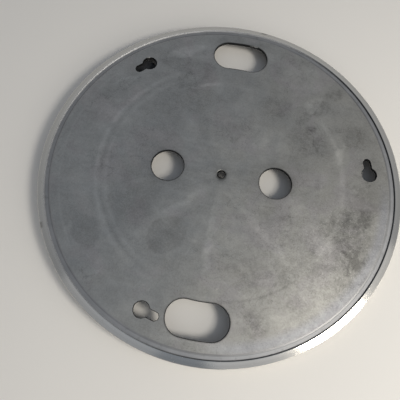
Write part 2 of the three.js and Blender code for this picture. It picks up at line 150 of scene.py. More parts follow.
# A screw's thread pitch and depth, and its socket's radius and depth, as shares of the shank's
# radius, the pitch, the head's radius and the head's height.
THREAD = {"pitch": 0.5, "depth": 0.45}
SOCKET = {"radius": 0.5, "depth": 0.6}
SEAL_INNER = 23
BUSH = {"inner": 3.3, "outer": 4.9, "shoulder": 6.35}

# ---- Camera and light, in the wheel's own frame ----
CAMERA_PLACE = (-7.2, -128.1, 326.3)
CAMERA_TILT = 18.04  # degrees up from straight down
CAMERA_ROLL = -1.94
CAMERA_HEADING = 9.68
LENS = 36
SENSOR = 36
BENCH_HALF = 2500
BENCH_DEPTH = 20
LIGHT_DISTANCE = 950
# Each light's azimuth from +X and elevation in degrees, size, watts and colour.
LIGHTS = {
    "key": (-24.5, 47.5, (255, 270), 4.6, (1.0, 0.955, 0.875)),
    "glow": (-40, 26, (1200, 365), 3.0, (1.0, 0.955, 0.875)),
    "fill": (-26, 54, (1000, 535), 0.50, (1.0, 0.98, 0.95)),
    "side": (-132, 57, (535, 285), 0.067, (0.99, 0.99, 1.0)),
}
# The surround's colours, each at a height: the z of the direction that is looked in.
SKY = (
    (0.20, (0.53, 0.53, 0.53)),
    (0.82, (0.25, 0.265, 0.29)),
    (0.97, (0.20, 0.24, 0.30)),
)

# ---- How finely round shapes are cut ----
HEAD_STEPS = 288
PART_STEPS = 96
SMALL_STEPS = 48
HOLE_STEPS = 32
CORNER_STEPS = 4
ON_AXIS = 1e-6
OVERSHOOT = 2


# ---- Outlines ----
def polar(radius, degrees):
    angle = math.radians(degrees)
    return Vector((radius * math.cos(angle), radius * math.sin(angle)))


def softened(profile, size):
    """A closed profile with each corner rounded off over size, or over the point's own third value."""
    points = []
    for before, here, after in zip(profile[-1:] + profile[:-1], profile, profile[1:] + profile[:1]):
        corner = Vector(here[:2])
        to_before, to_after = Vector(before[:2]) - corner, Vector(after[:2]) - corner
        reach = here[2] if len(here) > 2 else size
        reach = min(reach, to_before.length * 0.45, to_after.length * 0.45)
        if abs(here[0]) < ON_AXIS or reach < ON_AXIS:
            points.append(corner)
            continue
        start, end = corner + to_before.normalized() * reach, corner + to_after.normalized() * reach
        for step in range(CORNER_STEPS + 1):
            t = step / CORNER_STEPS
            points.append(start * (1 - t) ** 2 + corner * (2 * t * (1 - t)) + end * t**2)
    return points


def arc(centre, radius, start, end, steps):
    """Points from one angle to the other, in degrees, round centre."""
    angles = (start + (end - start) * step / steps for step in range(steps + 1))
    return [Vector(centre) + polar(radius, angle) for angle in angles]


def wander(point, amount):
    """How far a cast edge strays at a point: a slow, fixed ripple."""
    return amount * (math.sin(point.x * 1.9 + point.y * 0.7) + math.sin(point.y * 2.3 - point.x)) / 2


def round_outline(centre, radius, steps=SMALL_STEPS, stray=0.0):
    def outline(grown):
        points = arc(centre, radius + grown, 0, 360 - 360 / steps, steps - 1)
        return [p + (p - Vector(centre)).normalized() * wander(p, stray) for p in points]

    return outline


def arc_slot(pitch, width, start, end, steps=16, stray=0.0):
    """A round-ended slot that follows a circle about the wheel's axis."""

    def outline(grown):
        half = width / 2 + grown
        points = arc((0, 0), pitch + half, start, end, steps)
        points += arc(polar(pitch, end), half, end, end + 180, steps * 2)[1:]
        points += arc((0, 0), pitch - half, end, start, steps)[1:]
        points += arc(polar(pitch, start), half, start + 180, start + 360, steps * 2)[1:-1]
        return [p + p.normalized() * wander(p, stray) for p in points]

    return outline


# ---- Meshes ----
def new_object(name, data):
    made = bpy.data.objects.new(name, data)
    bpy.context.scene.collection.objects.link(made)
    return made


def made_object(build, name):
    mesh = bpy.data.meshes.new(name)
    build.to_mesh(mesh)
    build.free()
    return new_object(name, mesh)


def revolved(profile, steps=PART_STEPS, centre=(0, 0)):
    """The body that an anticlockwise [radius, z] profile sweeps round a vertical axis."""
    build = bmesh.new()
    rings = []
    for radius, z in profile:
        if radius < ON_AXIS:
            rings.append([build.verts.new((centre[0] * MM, centre[1] * MM, z * MM))] * steps)
            continue
        turn = (Vector(centre) + polar(radius, 360 * step / steps) for step in range(steps))
        rings.append([build.verts.new((p.x * MM, p.y * MM, z * MM)) for p in turn])
    pairs = list(zip(rings, rings[1:]))
    if profile[0][0] >= ON_AXIS:
        pairs.append((rings[-1], rings[0]))
    for lower, upper in pairs:
        for here in range(steps):
            after = (here + 1) % steps
            corners = dict.fromkeys([lower[here], lower[after], upper[after], upper[here]])
            if len(corners) > 2:
                build.faces.new(list(corners))
    return made_object(build, "revolved")


def stacked(levels):
    """A closed body through outlines with the same number of points, given as (points, z)."""
    build = bmesh.new()
    loops = [[build.verts.new((p.x * MM, p.y * MM, z * MM)) for p in points] for points, z in levels]
    count = len(loops[0])
    build.faces.new(loops[0][::-1])
    build.faces.new(loops[-1])
    for lower, upper in zip(loops, loops[1:]):
        for here in range(count):
            after = (here + 1) % count
            build.faces.new([lower[here], lower[after], upper[after], upper[here]])
    return made_object(build, "stacked")


def cutter(outline, bottom, top, edge):
    """A tool that cuts an opening through a plate and rounds off both its edges.
    The rounding starts a hair outside each face, so that it meets the face at a shallow angle."""
    hair = edge * OPENING_HAIR
    turns = [90 * step / CORNER_STEPS for step in range(CORNER_STEPS + 1)]
    flare = [(edge * (1 - math.cos(math.radians(t))), edge * math.sin(math.radians(t))) for t in turns]
    levels = [(outline(edge), bottom - OVERSHOOT)]
    levels += [(outline(out), bottom - hair + edge - up) for out, up in flare[::-1]]
    levels += [(outline(out), top + hair - edge + up) for out, up in flare]
    levels.append((outline(edge), top + OVERSHOOT))
    return stacked(levels)


def combine(target, tool, operation="DIFFERENCE"):
    modifier = target.modifiers.new("combine", "BOOLEAN")
    modifier.operation = operation
    modifier.object = tool
    modifier.solver = "MANIFOLD"
    graph = bpy.context.evaluated_depsgraph_get()
    result = bpy.data.meshes.new_from_object(target.evaluated_get(graph))
    target.modifiers.clear()
    target.data = result
    bpy.data.objects.remove(tool)


def cut_through(target, points, bottom, top):
    combine(target, stacked([(points, bottom), (points, top)]))


def finished(shape, node, body, materials, zone=None):
    """Names a shape after the CAD node it stands for, shades it smoothly and gives it its body."""
    shape.name = shape.data.name = node + "_fine"
    shape.data.materials.clear()
    for material in materials:
        shape.data.materials.append(material)
    for face in shape.data.polygons:
        face.use_smooth = True
        face.material_index = zone(face.center / MM, face.normal) if zone else 0
    shape.modifiers.new("shading", "WEIGHTED_NORMAL").weight = 100
    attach(shape, body)
    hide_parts(node)


# ---- Shader graphs ----
class Shader:
    """One Principled material. Its methods add nodes and return the socket that holds the result,
    and done() joins them to the surface and returns the material."""

    def __init__(self, name, metallic=0.0, **fixed):
        self.material = bpy.data.materials.new(name)
        self.material.use_nodes = True
        self.tree = self.material.node_tree
        self.surface = self.tree.nodes["Principled BSDF"]
        self.surface.inputs["Metallic"].default_value = metallic
        for socket, value in fixed.items():
            self.surface.inputs[socket.replace("_", " ")].default_value = value
        self.place = self.tree.nodes.new("ShaderNodeTexCoord").outputs["Object"]

    def feed(self, socket, value):
        if isinstance(value, bpy.types.NodeSocket):
            self.tree.links.new(value, socket)
        else:
            socket.default_value = value

    def node(self, kind, values, output=0, **settings):
        made = self.tree.nodes.new(kind)
        for name, setting in settings.items():
            setattr(made, name, setting)
        for key, value in values.items():
            self.feed(made.inputs[key], value)
        return made.outputs[output]

    def math(self, operation, a, b=0.0):
        return self.node("ShaderNodeMath", {0: a, 1: b}, operation=operation)

    def add(self, a, b):
        return self.math("ADD", a, b)

    def times(self, a, b):
        return self.math("MULTIPLY", a, b)

    def apart(self, a, b):
        """How far apart two values are."""
        return self.math("ABSOLUTE", self.math("SUBTRACT", a, b))

    def marked(self, tone, cover, strength):
        """A tone with a mark on it, lighter or darker by strength where cover is 1."""
        return self.add(tone, self.times(cover, strength))

    def vector(self, operation, a, b=(0, 0, 0), output=0):
        return self.node("ShaderNodeVectorMath", {0: a, 1: b}, output, operation=operation)

    def noise(self, size, detail=4, rough=0.55, place=None, stretch=(1, 1, 1), bend=0.0):
        """Cloudy noise from 0 to 1 with features about size millimetres across."""
        where = self.vector("MULTIPLY", place or self.place, stretch)
        values = {"Vector": where, "Scale": 1 / (size * MM), "Detail": detail}
        values.update({"Roughness": rough, "Distortion": bend})
        return self.node("ShaderNodeTexNoise", values)

    def centred(self, value, amount):
        """A 0 to 1 value as a swing of amount about zero."""
        return self.times(self.math("SUBTRACT", value, 0.5), amount)

    def varied(self, base, *swings):
        """A base value that swings with each 0 to 1 value by the amount given with it."""
        for value, amount in swings:
            base = self.add(base, self.centred(value, amount))
        return base

    def fade(self, value, start, end, low=0.0, high=1.0):
        values = {"Value": value, "From Min": start, "From Max": end, "To Min": low, "To Max": high}
        return self.node("ShaderNodeMapRange", values, interpolation_type="SMOOTHSTEP")

    def blend(self, factor, first, second):
        ends = [c if isinstance(c, bpy.types.NodeSocket) else (*c, 1) for c in (first, second)]
        values = {0: factor, 6: ends[0], 7: ends[1]}
        return self.node("ShaderNodeMix", values, 2, data_type="RGBA")

    def toned(self, colour, tone):
        """A colour made lighter or darker by a factor."""
        return self.node("ShaderNodeVectorMath", {0: colour, "Scale": tone}, operation="SCALE")

    def radius(self):
        """Millimetres from the wheel's axis."""
        flat = self.vector("MULTIPLY", self.place, (1 / MM, 1 / MM, 0))
        return self.vector("LENGTH", flat, output=1)

    def parted(self, vector):
        """The x, y and z of a vector."""
        parts = self.tree.nodes.new("ShaderNodeSeparateXYZ")
        self.feed(parts.inputs[0], vector)
        return parts.outputs

    def bearing(self):
        """The flat unit vector that points away from the wheel's axis."""
        return self.vector("NORMALIZE", self.vector("MULTIPLY", self.place, (1, 1, 0)))

    def turning(self):
        """Coordinates of a turned surface: x and y go once round a 10 mm circle, and z steps out
        with the radius and up with the height."""
        x, y, _ = self.parted(self.vector("MULTIPLY", self.bearing(), (0.01, 0.01, 0)))
        out = self.add(self.times(self.radius(), MM), self.parted(self.place)[2])
        return self.node("ShaderNodeCombineXYZ", {0: x, 1: y, 2: out})

    def arc_band(self, radius, width, middle, half_span):
        """1 on an arc about the axis, fading out over width millimetres and at the arc's ends."""
        off = self.apart(self.radius(), radius)
        along = self.vector("DOT_PRODUCT", self.bearing(), (*polar(1, middle), 0), 1)
        limits = [math.cos(math.radians(half_span * share)) for share in (1.2, 0.8)]
        return self.times(self.fade(off, width, 0), self.fade(along, *limits))

    def spots(self, size, share, softness=0.4):
        """Scattered dots about size across, on roughly the given share of the cells."""
        values = {"Vector": self.place, "Scale": 1 / (size * 2.2 * MM)}
        cells = self.tree.nodes.new("ShaderNodeTexVoronoi")
        for name, value in values.items():
            self.feed(cells.inputs[name], value)
        near = self.fade(cells.outputs["Distance"], 0.3, 0.3 * (1 - softness))
        draw = self.vector("DOT_PRODUCT", cells.outputs["Color"], (1, 0, 0), 1)
        return self.times(near, self.math("LESS_THAN", draw, share))

    def scratches(self, direction, width=0.012, length=26, gap=2.2):
        """Fine lines that run at an angle and wander a little."""
        values = {"Vector": self.place, "Angle": math.radians(direction)}
        turned = self.node("ShaderNodeVectorRotate", values)
        along = self.noise(gap, detail=1, place=turned, stretch=(gap / length, 1, 1), bend=0.4)
        line = self.fade(self.apart(along, 0.5), width, 0)
        return self.times(line, self.fade(self.noise(17), 0.5, 0.62))

    def done(self, colour, roughness, height, depth):
        """The material, with relief: height is in 0 to 1 and depth is in millimetres."""
        values = {"Strength": 1.0, "Distance": depth * MM, "Height": height}
        normal = self.node("ShaderNodeBump", values)
        self.feed(self.surface.inputs["Base Color"], colour)
        self.feed(self.surface.inputs["Roughness"], roughness)
        self.feed(self.surface.inputs["Normal"], normal)
        return self.material


# Marks on the oxidised plate: x, y, half length, half width, turn in degrees, how much lighter
# or darker, how far noise breaks the mark up, and how soft its border is.
STAINS = (
    (71, 42, 17, 12, 0, -0.24, 0.7, 0.5),
    (72, 57, 4, 3, 30, -0.30, 0.3, 0.5),
    (37, 72, 15, 12, 0, -0.16, 0.6, 0.5),
    (90, 95, 9, 6, 20, -0.26, 0.6, 0.4),
    (80, 78, 10, 5, 60, -0.24, 0.6, 0.4),
    (65, 66, 8, 4, 50, -0.18, 0.6, 0.5),
    (110, 55, 12, 11, 80, -0.20, 0.4, 0.4),
    (112, -38, 13, 26, 5, -0.34, 0.6, 0.5),
    (122, -20, 9, 6, 70, -0.34, 0.7, 0.5),
    (114, -56, 10, 8, 60, -0.32, 0.8, 0.5),
    (111, 5, 8, 6, 0, -0.20, 0.7, 0.5),
    (75, -98, 8, 5, 10, -0.30, 0.6, 0.4),
    (42, -117, 10, 9, 0, -0.30, 0.7, 0.4),
    (60, -78, 12, 5, 35, -0.16, 0.8, 0.5),
    (-35, -60, 17, 13, 60, -0.17, 0.2, 0.12),
    (-42, -70, 6, 4, 70, -0.07, 0.4, 0.6),
    (30, -80, 20, 10, 0, -0.13, 0.8, 0.4),
    (-70, -30, 26, 20, 80, -0.12, 0.4, 0.4),
    (-100, -67, 15, 11, 130, -0.15, 0.2, 0.15),
    (-40, 70, 20, 15, 0, -0.14, 0.5, 0.4),
    (-48, 102, 26, 9, -8, -0.20, 0.3, 0.3),
    (-5, 76, 14, 10, 60, -0.10, 0.5, 0.4),
    (-60, 36, 30, 19, 80, -0.12, 0.4, 0.4),
    (50, -26, 14, 8, 0, -0.12, 0.4, 0.4),
    (8, 40, 20, 8, 8, -0.10, 0.5, 0.4),
    (-51, 116, 18, 5, 28, 0.24, 0.3, 0.25),
    (-24, 85, 9, 2.2, 10, 0.26, 0.2, 0.4),
    (-40, 78, 12, 1.4, 14, 0.16, 0.4, 0.5),
    (-100, 76, 13, 1.6, 35, 0.16, 0.4, 0.5),
    (-1, -55, 31, 3.2, 90, 0.20, 0.4, 0.5),
    (37, -41, 37, 2.8, -42, 0.16, 0.4, 0.5),
    (-28, -30, 24, 2.8, 39, 0.16, 0.4, 0.5),
    (90, -47, 8, 12, 20, 0.24, 0.6, 0.4),
    (72, 80, 9, 6, 40, 0.20, 0.6, 0.4),
    (88, -86, 9, 22, -35, 0.18, 0.8, 0.4),
    (66, 100, 24, 16, 140, 0.10, 0.5, 0.5),
    (99, 36, 14, 4, 80, 0.20, 0.5, 0.4),
    (25, 37, 16, 9, 40, 0.10, 0.4, 0.4),
    (-98, 46, 26, 10, 60, 0.10, 0.4, 0.4),
    (15, -85, 12, 5, 10, 0.12, 0.6, 0.4),
    (70, 3, 24, 14, 0, -0.10, 0.3, 0.6),
    (130, 6, 14, 32, 0, -0.20, 0.3, 0.6),
    (5, -136, 26, 4, 0, 0.16, 0.4, 0.5),
    (0, 137, 22, 4, 0, -0.14, 0.3, 0.5),
    (108, 62, 22, 13, 120, -0.08, 0.3, 0.6),
    (112, -42, 34, 44, 0, -0.12, 0.2, 0.8),
)

# Arcs that a round mat and a lathe tool have left: radius, half width, middle, half span and tone.
ARCS = (
    (97, 2.4, 182, 60, 0.10),
    (105, 3.2, 182, 60, 0.15),
    (101, 1.8, 182, 55, -0.08),
    (103, 4.0, 2, 38, 0.16),
    (105, 1.8, -66, 17, -0.18),
    (135, 1.8, 180, 36, 0.08),
    (120, 1.5, 150, 22, 0.07),
    (62, 1.6, 250, 40, 0.06),
)

# Places on the plate with marks of their own: x, y, and the radii of full effect and of none.
HARSH_PATCH = (88, -66, 15, 85)
PITTED_PATCH = (92, -66, 15, 70)
FLECKED_PATCH = (108, -48, 20, 75)
DRIED_PATCH = (82, 58, 20, 60)
CENTRE_HALO = (0, 0, SPINDLE_HOLE, 10)
# A painted shade round the spindle hole, a little off centre, that spreads the hole's dark onto the
# plate.
CENTRE_HOLE_SHADE = (0.3, -0.9, SPINDLE_HOLE - 0.2, SPINDLE_HOLE + 2.2)
# A painted bluish sheen on the plate near the rim, on the side the light comes from.
PAINTED_SHEEN_ARC = (139, 8, -40, 42)  # as in ARCS, without the tone
HOLE_HALO = 20
DARKEST_TONE = 0.54
RAGS_PER_METRE = 70.0  # how fine the stains' ragged borders are
RAG_REACH = 0.012
RIM_SHADOW_SIDE = -20  # degrees round, where the groove takes its painted rim shadow; the painted wall highlight lies on the far side


def stained(s, tone, ragged):
    """Adds the plate's marks to a tone: ellipses with ragged borders."""
    patchy = s.fade(s.noise(7, detail=6, rough=0.75), 0.42, 0.58)
    for x, y, length, width, turn, strength, broken, soft in STAINS:
        values = {"Vector": ragged, "Location": (x * MM, y * MM, PLATE * MM)}
        values["Rotation"] = (0, 0, math.radians(turn))
        values["Scale"] = (length * MM, width * MM, 1)
        inside = s.node("ShaderNodeMapping", values, vector_type="TEXTURE")
        cover = s.fade(s.vector("LENGTH", inside, output=1), 1 + soft, 1 - soft)
        cover = s.times(cover, s.fade(patchy, 0, 1, 1 - broken, 1))
        tone = s.marked(tone, cover, strength)
    return tone


def near_point(s, x, y, inner, outer):
    """1 within inner millimetres of a point on the plate, fading to 0 at outer."""
    off = s.vector("SUBTRACT", s.place, (x * MM, y * MM, PLATE * MM))
    return s.fade(s.times(s.vector("LENGTH", off, output=1), 1 / MM), outer, inner)


def plate_tone(s):
    """The oxide's light and dark, about 1: clouds, smears, wiping, stains and old mat rings."""
    clouds = s.noise(46, detail=5, bend=0.5)
    mottle = s.noise(10, detail=6, rough=0.66)
    smears = s.noise(16, stretch=(0.30, 1, 1), bend=1.2)
    wiped = s.noise(2.2, detail=3, place=s.turning(), stretch=(1, 1, 0.05), bend=0.3)
    streaks = s.noise(2.6, detail=3, stretch=(0.10, 1, 1))
    grain = s.noise(1.3, detail=3, rough=0.75)
    harsh = near_point(s, *HARSH_PATCH)
    tone = s.varied(1.0, (clouds, 0.38), (mottle, 0.42), (smears, 0.26))
    tone = s.marked(tone, s.centred(wiped, 0.26), s.fade(s.radius(), 100, 60))
    tone = s.marked(tone, s.centred(streaks, 0.22), s.fade(s.radius(), 80, 30))
    tone = s.add(tone, s.centred(grain, s.fade(harsh, 0, 1, 0.55, 0.80)))
    tone = s.marked(tone, s.centred(s.noise(5, detail=5, rough=0.7), 0.55), harsh)
    values = {"Vector": s.place, "Scale": RAGS_PER_METRE, "Detail": 5.0}
    shift = s.node("ShaderNodeTexNoise", values, 1)
    shift = s.toned(s.vector("SUBTRACT", shift, (0.5, 0.5, 0.5)), RAG_REACH)
    tone = stained(s, tone, s.vector("ADD", s.place, shift))
    rubbed = s.fade(s.noise(13, detail=5, rough=0.65), 0.36, 0.56, 0.35, 1)
    for radius, width, middle, half_span, strength in ARCS:
        mark = s.times(s.arc_band(radius, width, middle, half_span), rubbed)
        tone = s.marked(tone, mark, strength)
    return s.math("MAXIMUM", tone, DARKEST_TONE)


def window_edge(s, angle):
    """1 on the edge of a window, fading out over a millimetre of the plate round it."""
    half = WINDOW["width"] / 2 + OPENING_EDGE
    line = 0.0
    for side in (-1, 1):
        x, y = polar(WINDOW["pitch"], angle + side * WINDOW["half_span"])
        line = s.math("MAXIMUM", line, near_point(s, x, y, half, half + 1))
        arc = s.arc_band(WINDOW["pitch"] + side * half, 1, angle, WINDOW["half_span"])
        line = s.math("MAXIMUM", line, arc)
    return line


def oxidised_plate():
    """The dull, stained top of the casting, with painted shade round the spindle hole and a painted
    warm tint and bluish sheen where the light falls.
    """
    s = Shader("oxidised_aluminium", metallic=0.93)
    tone = plate_tone(s)
    for angle in FINGER_HOLE["angles"]:
        x, y = polar(FINGER_HOLE["pitch"], angle)
        edge = FINGER_HOLE["radius"] + OPENING_EDGE
        tone = s.marked(tone, near_point(s, x, y, edge, HOLE_HALO), -0.12)
        tone = s.marked(tone, near_point(s, x, y, edge, edge + 0.8), -0.30)
    for angle in WINDOW["angles"]:
        tone = s.marked(tone, window_edge(s, angle), -0.35)
    tone = s.marked(tone, near_point(s, *CENTRE_HALO), -0.16)
    # Painted shade: the spindle hole's dark spreads a little onto the plate.
    tone = s.marked(tone, near_point(s, *CENTRE_HOLE_SHADE), -0.45)
    pitted = s.fade(s.noise(24), 0.45, 0.62)
    pitted = s.math("MAXIMUM", pitted, near_point(s, *PITTED_PATCH))
    pits = s.times(s.spots(0.45, 0.35), pitted)
    flecks = s.times(s.spots(0.55, 0.30), near_point(s, *FLECKED_PATCH))
    cuts = s.add(s.scratches(24), s.scratches(-58, length=40))
    tide = s.apart(s.noise(17, detail=5, rough=0.6, bend=0.6), 0.5)
    dried = s.math("MAXIMUM", s.fade(s.noise(38), 0.50, 0.62), near_point(s, *DRIED_PATCH))
    tone = s.marked(tone, s.times(s.fade(tide, 0.016, 0.003), dried), -0.16)
    tone = s.marked(tone, pits, -0.34)
    tone = s.marked(tone, flecks, 0.45)
    tone = s.marked(tone, cuts, 0.14)
    # Painted light: the plate's colour turns warmer towards +x and -y, the side that the warm key
    # light falls on.
    x, y, _ = s.parted(s.place)
    painted_warm_light = s.marked(x, y, -0.35)
    painted_warm_light = s.fade(s.add(painted_warm_light, s.centred(s.noise(30), 0.14)), -0.09, 0.10)
    colour = s.blend(painted_warm_light, (0.350, 0.354, 0.348), (0.366, 0.357, 0.331))
    violet = s.fade(s.noise(34, bend=0.8), 0.50, 0.66, 0, 0.45)
    colour = s.blend(violet, colour, (0.365, 0.343, 0.345))
    # Painted sheen: a bluish reflection is painted on an arc near the rim.
    bloom_and_sheen = s.times(s.arc_band(*PAINTED_SHEEN_ARC), 0.55)
    colour = s.toned(s.blend(bloom_and_sheen, colour, (0.362, 0.368, 0.404)), tone)
    rough = s.add(0.50, s.centred(s.noise(14, detail=5), 0.16))
    rough = s.marked(rough, cuts, -0.10)
    height = s.add(s.times(s.noise(3.2, detail=5, rough=0.6), 0.6), s.times(pits, -0.5))
    height = s.marked(height, cuts, -0.3)
    return s.done(colour, rough, height, 0.05)


def turned_rim():
    """Bright turned aluminium: fine rings round the axis, a little haze, a few nicks and a painted
    lighter reflection on the rim's inner band.
    """
    s = Shader("turned_aluminium", metallic=1.0)
    rings = s.noise(0.35, detail=2, place=s.turning(), stretch=(0.05, 0.05, 1))
    haze = s.noise(22, detail=5, rough=0.6)
    nicks = s.spots(0.7, 0.05, softness=0.6)
    top = s.fade(s.parted(s.place)[2], (RIM_OUTER_Z - 1.5) * MM, (RIM_OUTER_Z - 0.5) * MM)
    for angle in RIM_NICKS:
        nick = s.times(s.arc_band(HEAD_RADIUS - 0.8, 2.2, angle, 0.9), top)
        nicks = s.math("MAXIMUM", nicks, nick)
    tone = s.varied(1.0, (rings, 0.10), (haze, 0.16))
    tone = s.marked(tone, nicks, -0.45)
    # Painted reflection: the rim's inner band is painted lighter, as a flat land there would reflect.
    tone = s.add(tone, s.fade(s.radius(), RIM_INNER + 3.2, RIM_INNER + 1.6, 0, 0.08))
    colour = s.toned(s.blend(haze, (0.675, 0.648, 0.592), (0.615, 0.599, 0.565)), tone)
    rough = s.varied(0.13, (haze, 0.04))
    rough = s.marked(rough, nicks, 0.3)
    height = s.add(s.times(rings, 0.5), s.times(nicks, -0.5))
    return s.done(colour, rough, height, 0.004)


def turned_groove():
    """The groove inside the rim: turned like the rim, dulled like the plate, and with a painted rim
    shadow, painted shade and a painted highlight that follow where the light comes from.
    """
    s = Shader("dulled_groove", metallic=0.95)
    rings = s.noise(0.5, detail=2, place=s.turning(), stretch=(0.05, 0.05, 1))
    oxide = s.noise(15, detail=6, rough=0.65)
    grime = s.fade(s.noise(5, detail=6, rough=0.7), 0.54, 0.70, 0, 0.5)
    tone = s.varied(1.0, (rings, 0.24), (oxide, 0.34))
    slope_end = GROOVE_INNER + GROOVE_SLOPE
    corner = s.apart(s.radius(), slope_end + 0.3)
    tone = s.add(tone, s.fade(corner, 0.6, 0.2, 0, -0.24))
    # Painted light: on the side the light comes from, the rim's shadow is painted on the groove floor
    # and the slope is painted darker to dim its reflection; on the far side, a highlight is painted on
    # the rim's inner wall.
    facing = s.vector("DOT_PRODUCT", s.bearing(), (*polar(1, RIM_SHADOW_SIDE), 0), 1)
    rim_shadow_side = s.fade(facing, -0.2, 0.5)
    slope = s.fade(s.radius(), slope_end + 0.1, slope_end - 0.3, 0, -0.35)
    dirt_and_rim_shadow = s.fade(s.radius(), RIM_INNER - 1.1, RIM_INNER - 0.5, 0, -0.78)
    painted_wall_highlight = s.fade(s.radius(), RIM_INNER - 0.4, RIM_INNER - 0.2, 0, 0.5)
    tone = s.marked(tone, s.add(slope, dirt_and_rim_shadow), rim_shadow_side)
    tone = s.marked(tone, painted_wall_highlight, s.fade(rim_shadow_side, 1, 0))
    # Painted shade: the groove is darker on the side away from the light.
    tone = s.add(tone, s.fade(facing, 0.3, -0.5, 0, -0.12))
    colour = s.toned((0.382, 0.382, 0.385), tone)
    colour = s.blend(grime, colour, (0.20, 0.20, 0.195))
    rough = s.varied(0.50, (oxide, 0.14))
    return s.done(colour, rough, rings, 0.006)


def cast_skin():
    """The unmachined underside and the openings' walls: sand-cast aluminium, grey and grainy."""
    s = Shader("cast_aluminium", metallic=0.85)
    grain = s.noise(0.9, detail=6, rough=0.7)
    blotches = s.noise(18, detail=5)
    dirt_and_rim_shadow = s.fade(s.noise(9, detail=6, rough=0.7), 0.55, 0.75)
    tone = s.varied(0.95, (grain, 0.3), (blotches, 0.3))
    z = s.parted(s.place)[2]
    wall = s.fade(z, (UNDERSIDE + 0.2) * MM, (UNDERSIDE + 0.6) * MM, 1.0, 0.15)
    colour = s.blend(dirt_and_rim_shadow, s.toned((0.17, 0.172, 0.172), tone), (0.06, 0.056, 0.05))
    colour = s.toned(colour, wall)
    rough = s.varied(0.62, (blotches, 0.2))
    height = s.add(s.times(grain, 0.7), s.times(s.noise(4), 0.5))
    return s.done(colour, rough, height, 0.16)


def worn_edge():
    """The rounded edges of the openings, where handling has rubbed parts of the oxide bright."""
    s = Shader("worn_aluminium_edge", metallic=0.5, Specular_IOR_Level=0.2)
    rubbed = s.fade(s.noise(9, detail=3), 0.62, 0.76, 0, 0.8)
    grain = s.noise(1.1)
    dull = s.toned((0.016, 0.0165, 0.018), s.varied(0.9, (grain, 0.4)))
    colour = s.blend(rubbed, dull, (0.55, 0.545, 0.53))
    rough = s.fade(rubbed, 0, 1, 0.85, 0.30)
    return s.done(colour, rough, grain, 0.03)


def hammered_paint():
    """Black hammered paint on the base casting, with dust and a few chips down to grey metal."""
    s = Shader("hammered_paint", metallic=0.1, Coat_Weight=0.25, Coat_Roughness=0.2)
    dimples = s.node("ShaderNodeTexVoronoi", {"Vector": s.place, "Scale": 520.0}, feature="SMOOTH_F1")
    blotches = s.noise(20)
    dust = s.fade(s.noise(6, detail=6, rough=0.7), 0.50, 0.78, 0, 0.35)
    chips = s.fade(s.noise(3.4, detail=6, rough=0.75), 0.70, 0.73)
    tone = s.varied(0.85, (dimples, 0.5), (blotches, 0.3))
    colour = s.blend(dust, s.toned((0.052, 0.055, 0.060), tone), (0.20, 0.19, 0.17))
    colour = s.blend(chips, colour, (0.34, 0.34, 0.34))
    rough = s.add(s.fade(dust, 0, 0.35, 0.42, 0.66), s.centred(blotches, 0.1))
    height = s.marked(dimples, chips, -0.5)
    return s.done(colour, rough, height, 0.14)


def ground_steel():
    """Bearing steel, ground round the axis, under a thin film of oil with brown patches in it."""
    s = Shader("ground_steel", metallic=1.0)
    rings = s.noise(0.22, detail=2, place=s.turning(), stretch=(0.06, 0.06, 1))
    oil = s.fade(s.noise(7), 0.46, 0.66)
    tone = s.add(s.varied(1.0, (rings, 0.22)), s.centred(s.noise(12), 0.14))
    colour = s.blend(s.times(oil, 0.4), s.toned((0.55, 0.56, 0.58), tone), (0.30, 0.24, 0.17))
    rough = s.add(s.fade(oil, 0, 1, 0.30, 0.17), s.centred(rings, 0.08))
    return s.done(colour, rough, rings, 0.006)


def shade_dark_slip_stained_steel():
    """The spindle's nose: near black as a painted shade for the dark of the centre hole, with paler
    patches of dried slip.
    """
    s = Shader("shade_dark_slip_stained_steel", metallic=0.5)
    slip = s.fade(s.noise(2.6, detail=5, rough=0.7), 0.46, 0.70)
    # Painted shade: the near-black base stands in for the hole's dark; the paler patches are dried
    # slip.
    colour = s.blend(slip, (0.040, 0.038, 0.036), (0.13, 0.125, 0.115))
    return s.done(colour, s.fade(slip, 0, 1, 0.42, 0.85), slip, 0.03)


def polished_ball():
    s = Shader("polished_steel", metallic=1.0)
    smear = s.noise(0.9, stretch=(1, 1, 0.4))
    colour = s.blend(smear, (0.76, 0.77, 0.79), (0.66, 0.66, 0.67))
    return s.done(colour, s.fade(smear, 0.3, 0.7, 0.06, 0.16), smear, 0.002)


def zinc_plate(name, colour, passivated):
    """Dull zinc: cloudy crystals, faintly yellow where the passivation is thick."""
    s = Shader(name, metallic=1.0)
    crystals = s.node("ShaderNodeTexVoronoi", {"Vector": s.place, "Scale": 900.0})
    clouds = s.noise(8, detail=5)
    tone = s.varied(0.98, (crystals, 0.12), (clouds, 0.26))
    yellow = s.fade(clouds, 0.4, 0.68, 0, passivated)
    shade = s.blend(yellow, s.toned(colour, tone), (0.55, 0.48, 0.30))
    white_rust = s.fade(s.noise(3, detail=6, rough=0.72), 0.66, 0.76, 0, 0.5)
    shade = s.blend(white_rust, shade, (0.55, 0.55, 0.53))
    rough = s.add(s.fade(clouds, 0.3, 0.7, 0.30, 0.44), s.times(white_rust, 0.4))
    return s.done(shade, rough, s.add(crystals, clouds), 0.012)


def blued_spring():
    s = Shader("blued_spring_steel", metallic=1.0)
    heat = s.noise(2.2, detail=3)
    colour = s.blend(s.fade(heat, 0.35, 0.65), (0.06, 0.075, 0.12), (0.13, 0.11, 0.10))
    return s.done(colour, s.fade(heat, 0.3, 0.7, 0.26, 0.40), s.noise(0.4), 0.006)


